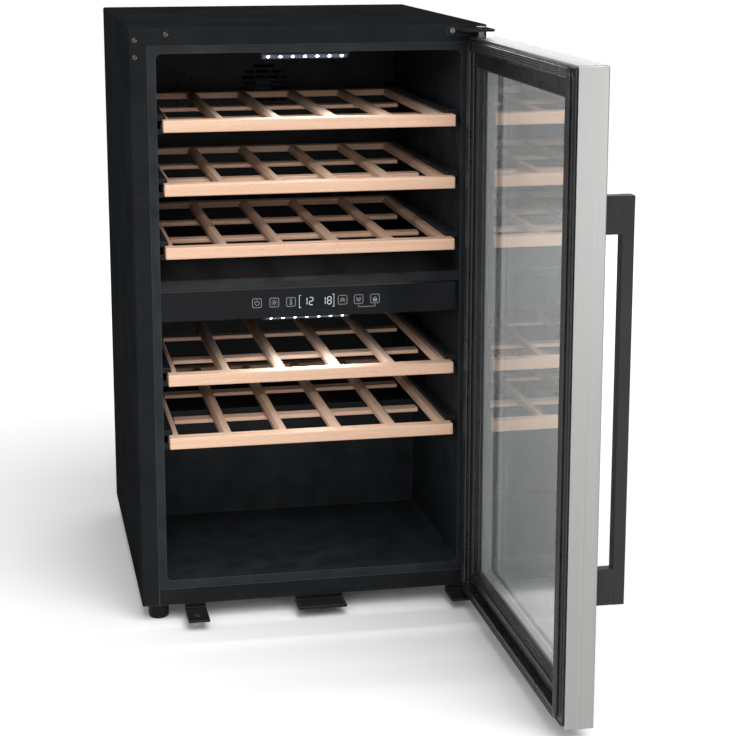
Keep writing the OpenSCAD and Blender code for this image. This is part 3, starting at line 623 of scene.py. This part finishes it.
def arc(centre, radius, start, end, steps):
    """Points on an arc, in degrees from +X towards +Z."""
    turn = [math.radians(start + (end - start) * i / steps) for i in range(steps + 1)]
    return [(centre[0] + radius * math.cos(t), centre[1] + radius * math.sin(t)) for t in turn]


def rounded_box(centre, half_x, half_z, radius, steps=4):
    """Closed outline of a rounded rectangle."""
    points = []
    for quarter, (sx, sz) in enumerate(((1, 1), (-1, 1), (-1, -1), (1, -1))):
        corner = (centre[0] + sx * (half_x - radius), centre[1] + sz * (half_z - radius))
        points += arc(corner, radius, quarter * 90, quarter * 90 + 90, steps)
    return points


def turned(work, at, axis, profile, steps=20):
    """Closed turned shape standing at a point along axis.

    Its profile is a list of (radius, height) that starts and ends on the axis.
    """
    spin = Vector(axis).to_track_quat("Z", "Y").to_matrix()
    at = Vector(at)
    ends = [work.verts.new(at + spin @ Vector((0, 0, profile[i][1]))) for i in (0, -1)]
    rings = []
    for radius, height in profile[1:-1]:
        turn = [2 * math.pi * k / steps for k in range(steps)]
        points = [Vector((radius * math.cos(t), radius * math.sin(t), height)) for t in turn]
        rings.append([work.verts.new(at + spin @ p) for p in points])
    for k in range(steps):
        n = (k + 1) % steps
        work.faces.new((ends[0], rings[0][n], rings[0][k]))
        work.faces.new((ends[1], rings[-1][k], rings[-1][n]))
        for one, two in zip(rings, rings[1:]):
            work.faces.new((one[k], one[n], two[n], two[k]))


def screw(work, at, axis, radius):
    """Domed screw head, standing on a face."""
    dome = [(0, -0.2 * radius), (radius, -0.2 * radius), (radius, 0.15 * radius)]
    dome += [(radius * math.cos(math.radians(a)), radius * (0.15 + 0.4 * math.sin(math.radians(a))))
             for a in (25, 50, 70)]
    turned(work, at, axis, dome + [(0, 0.56 * radius)])


# ---------- control strip and lights ----------

ICON = 6.3 * MM
STROKE = 0.75 * MM
PRINT = 0.12 * MM
SUNK = 0.05 * MM


def print_symbols():
    """Generic touch symbols on both sides of the display, each in a rounded frame.

    They are placed in millimetres from the strip's middle, and their strokes from their own middle.
    """
    low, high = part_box("display_window")
    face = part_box("control_panel")[0].y
    middle = (low.z + high.z) / 2
    spots = {"power": -78.5, "lamp": -54, "unit": -30.5, "up": 43, "down": 66, "lock": 89.5}

    def spot(name, across=0.0, up=0.0):
        """Point at a distance from the middle of a symbol."""
        return ((spots[name] + across) * MM, middle + up * MM)

    def symbols(work):
        def stroke(points, closed=False, width=STROKE):
            ribbon(work, points, width, face + SUNK, face - PRINT, closed)

        for name in spots:
            stroke(rounded_box(spot(name), ICON, ICON, 2 * MM), True)

        stroke(arc(spot("power"), 3.1 * MM, 120, 420, 18))
        stroke([spot("power", 0, 0.8), spot("power", 0, 4.2)])

        stroke(arc(spot("lamp"), 1.5 * MM, 0, 330, 11), True)
        for ray in range(8):
            t = math.radians(45 * ray)
            stroke([spot("lamp", r * math.cos(t), r * math.sin(t)) for r in (2.8, 4.3)])

        stroke(arc(spot("unit", 0, -2.6), 1.5 * MM, 0, 330, 11), True)
        stroke(rounded_box(spot("unit", 0, 1.7), 0.95 * MM, 2.7 * MM, 0.9 * MM), True, 0.6 * MM)

        for name, way in (("up", 1), ("down", -1)):
            for lift in (-1.6, 1.2):
                tip = lift + 1.4 * way
                foot = lift - 1.2 * way
                stroke([spot(name, -3.4, foot), spot(name, 0, tip), spot(name, 3.4, foot)], width=1.0 * MM)

        stroke([spot("lock", -2.9, -1.9), spot("lock", 2.9, -1.9)], width=4 * MM)
        stroke(arc(spot("lock", 0, 0.4), 1.9 * MM, 0, 180, 9))

        under = -ICON / MM - 1.0
        drop = under - 3.6
        stroke([spot("down", 0, under), spot("down", 0, drop), spot("lock", 0, drop), spot("lock", 0, under)])

    grey = printed("icon_print", srgb(132, 136, 140), 0.16)
    piece("panel_symbols", symbols, grey, "cabinet")


def print_figures():
    """The two zones' temperatures in the display, in seven segments, with a bracket at each end."""
    low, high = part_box("display_window")
    middle = (low.z + high.z) / 2
    centre = (low.x + high.x) / 2
    back, front = low.y + SUNK, low.y - PRINT
    segments = {"a": ((0, 2), (1, 2)), "b": ((1, 2), (1, 1)), "c": ((1, 1), (1, 0)), "d": ((0, 0), (1, 0)),
                "e": ((0, 1), (0, 0)), "f": ((0, 2), (0, 1)), "g": ((0, 1), (1, 1))}
    shapes = {"1": "bc", "2": "abged", "8": "abcdefg"}
    side = 5.2 * MM
    gap = 0.6 * MM
    margin = 1.2 * MM
    reach = 4 * MM

    def figures(work):
        for digit, shift in zip("1218", (-19, -10.5, 7, 15.5)):
            left = centre + shift * MM
            for key in shapes[digit]:
                start, end = [Vector((left + u * side, middle + (v - 1) * side)) for u, v in segments[key]]
                inward = (end - start).normalized() * gap
                ribbon(work, [start + inward, end - inward], 1.0 * MM, back, front)
        for x, way in ((low.x, 1), (high.x, -1)):
            stem, tip = x + way * margin, x + way * reach
            top, bottom = high.z - margin, low.z + margin
            ribbon(work, [(tip, top), (stem, top), (stem, bottom), (tip, bottom)], 0.6 * MM, back, front)

    lit = printed("lit_digits", srgb(200, 212, 224), 0.35)
    piece("panel_figures", figures, lit, "cabinet")


def light_strips():
    """Seven white diodes on the slanted cover of each light bar, and the light they give."""
    low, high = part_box("light_diffusers")
    slant = math.sqrt(0.5)
    half_cover = 3.4 * MM * slant
    thickness = 2.4 * MM * slant
    out = Vector((0, -slant, -slant))
    glow = printed("diode_glow", (0.86, 0.93, 1.0, 1.0), 9.0)
    count = 7
    end = 7 * MM
    pitch = (high.x - low.x - 2 * end) / (count - 1)
    profile = [(0, -0.6), (2.3, -0.6), (2.3, 0.3), (1.9, 0.5), (1.7, 0.9), (1.2, 1.4), (0.6, 1.65), (0, 1.7)]
    for zone, z in (("upper", high.z - half_cover - thickness), ("lower", low.z + half_cover)):
        def diodes(work):
            for k in range(count):
                at = (low.x + end + k * pitch, low.y + half_cover, z)
                turned(work, at, out, [(r * MM, h * MM) for r, h in profile])

        piece(f"{zone}_diodes", diodes, glow, "cabinet", smooth=True)
        at = Vector(((low.x + high.x) / 2, low.y + half_cover, z)) + out * 5 * MM
        add_softbox(f"{zone}_diode_light", at, at + Vector((0, -0.2, -1)), high.x - low.x, 6 * MM, 0.35,
                    (0.8, 0.9, 1.0))


# ---------- door ----------

GASKET_LATCH = 8.5 * MM
GASKET_BOTTOM = 4.6 * MM
GASKET_TOP = 0.4 * MM
GASKET_HINGE = 1.0 * MM


def ribbed_gasket(material):
    """Magnetic door gasket: a flange out to the frame's edge, a soft bellows and a ribbed face.

    Each section is a list of (inset in millimetres from the outer edge, share of the gasket's depth), and
    the two together make one closed outline, which is swept round the door.
    """
    low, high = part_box("door_gasket")
    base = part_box("door_inner_frame")[0].x
    depth = base - low.x
    flange = [(0, 0), (0, 0.2), (0.3, 0.3), (1.0, 0.34), (1.7, 0.3), (2.0, 0.2)]
    head = [(2.8, 0.2), (1.4, 0.42), (2.6, 0.54), (0.5, 0.64), (0.2, 0.8), (0.7, 0.93), (1.6, 0.99),
            (2.5, 0.93), (3.0, 0.84), (3.5, 0.93), (4.6, 0.99), (5.7, 0.93), (6.2, 0.84), (6.7, 0.93),
            (7.8, 0.99), (8.9, 0.93), (9.4, 0.84), (9.9, 0.93), (11.0, 0.99), (13.6, 0.93), (14.7, 0.8),
            (14.4, 0.64), (12.4, 0.54), (13.8, 0.42), (11.8, 0.28), (13.6, 0.13), (13.4, 0)]
    flange_corner = 5 * MM
    head_corner = 15 * MM

    def outline(inset, corner, latch=0.0, hinge=0.0, bottom=0.0, top=0.0):
        y0, y1 = low.y + latch + inset, high.y - hinge - inset
        z0, z1 = low.z + bottom + inset, high.z - top - inset
        return rounded_box(((y0 + y1) / 2, (z0 + z1) / 2), (y1 - y0) / 2, (z1 - z0) / 2, corner - inset, 8)

    def swept(work):
        edges = [(lift, outline(inset * MM, flange_corner, hinge=GASKET_HINGE)) for inset, lift in flange]
        edges += [(lift, outline(inset * MM, head_corner, GASKET_LATCH, 0.0, GASKET_BOTTOM, GASKET_TOP))
                  for inset, lift in head]
        rings = [[work.verts.new((base - lift * depth, y, z)) for y, z in points] for lift, points in edges]
        count = len(rings[0])
        for one, two in zip(rings, rings[1:] + rings[:1]):
            for k in range(count):
                n = (k + 1) % count
                work.faces.new((one[k], one[n], two[n], two[k]))

    made = piece("ribbed_gasket", swept, material, "door", smooth=True)
    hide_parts("door_gasket")


# ---------- small fixings ----------

def rear_screws(material):
    """Screws that hold the back panel and the rear grille to the cabinet's folded rear edge."""
    low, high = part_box("outer_shell")
    grille_low, grille_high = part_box("rear_grille")
    inset = 6 * MM
    radius = 3.8 * MM
    top_pitch = 160 * MM
    side_span = high.z - grille_high.z - 10 * MM
    heights = [grille_low.z + 20 * MM, grille_high.z - 12 * MM]
    heights += [grille_high.z + side_span * k / 4 for k in range(1, 4)]

    def heads(work):
        for z in heights:
            for x in (low.x + inset, high.x - inset):
                screw(work, (x, high.y, z), (0, 1, 0), radius)
        for k in range(-1, 2):
            screw(work, (k * top_pitch, high.y, high.z - inset), (0, 1, 0), radius)

    piece("rear_screws", heads, material, "cabinet", smooth=True)


def shelf_brads(material):
    """Brad heads where each slat crosses the two ties and the rear bar, one to a crossing."""
    bottle_pitch = 80 * MM
    half_slat = 8 * MM
    crossings = (151 * MM, 301 * MM, 423 * MM)
    profile = [(0, -0.3), (1.1, -0.3), (1.1, 0.05), (0.7, 0.2), (0, 0.24)]
    for number in SHELVES:
        rack_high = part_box(f"shelf_{number}_rack")[1]
        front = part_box(f"shelf_{number}_front_bar")[0].y
        edge = rack_high.x - half_slat

        def heads(work):
            for k in range(6):
                x = max(-edge, min(edge, (k - 2.5) * bottle_pitch))
                for behind in crossings:
                    at = (x, front + behind, rack_high.z)
                    turned(work, at, (0, 0, 1), [(r * MM, h * MM) for r, h in profile], 12)

        piece(f"shelf_{number}_brads", heads, material, f"shelf_{number}", smooth=True)


# ---------- floor ----------

def add_floor():
    """Plain pale floor, wide enough to fill the view behind the cooler."""
    s = Surface("floor", 0.85, specular=0.1)
    s.shade("Base Color", s.between(s.noise(0.5, 3.0), srgb(250, 250, 250), srgb(253, 253, 253)))
    half = 30.0
    mesh = bpy.data.meshes.new("floor")
    corners = [(-half, -half, 0), (half, -half, 0), (half, half, 0), (-half, half, 0)]
    mesh.from_pydata(corners, [], [(0, 1, 2, 3)])
    mesh.materials.append(s.material)
    floor = bpy.data.objects.new("floor", mesh)
    bpy.context.scene.collection.objects.link(floor)


add_camera()
add_studio()
add_floor()
MATERIALS = make_materials()
paint_nodes(MATERIALS)
paint_racks()
print_symbols()
print_figures()
light_strips()
ribbed_gasket(MATERIALS["gasket_rubber"])
rear_screws(MATERIALS["zinc"])
shelf_brads(MATERIALS["zinc"])
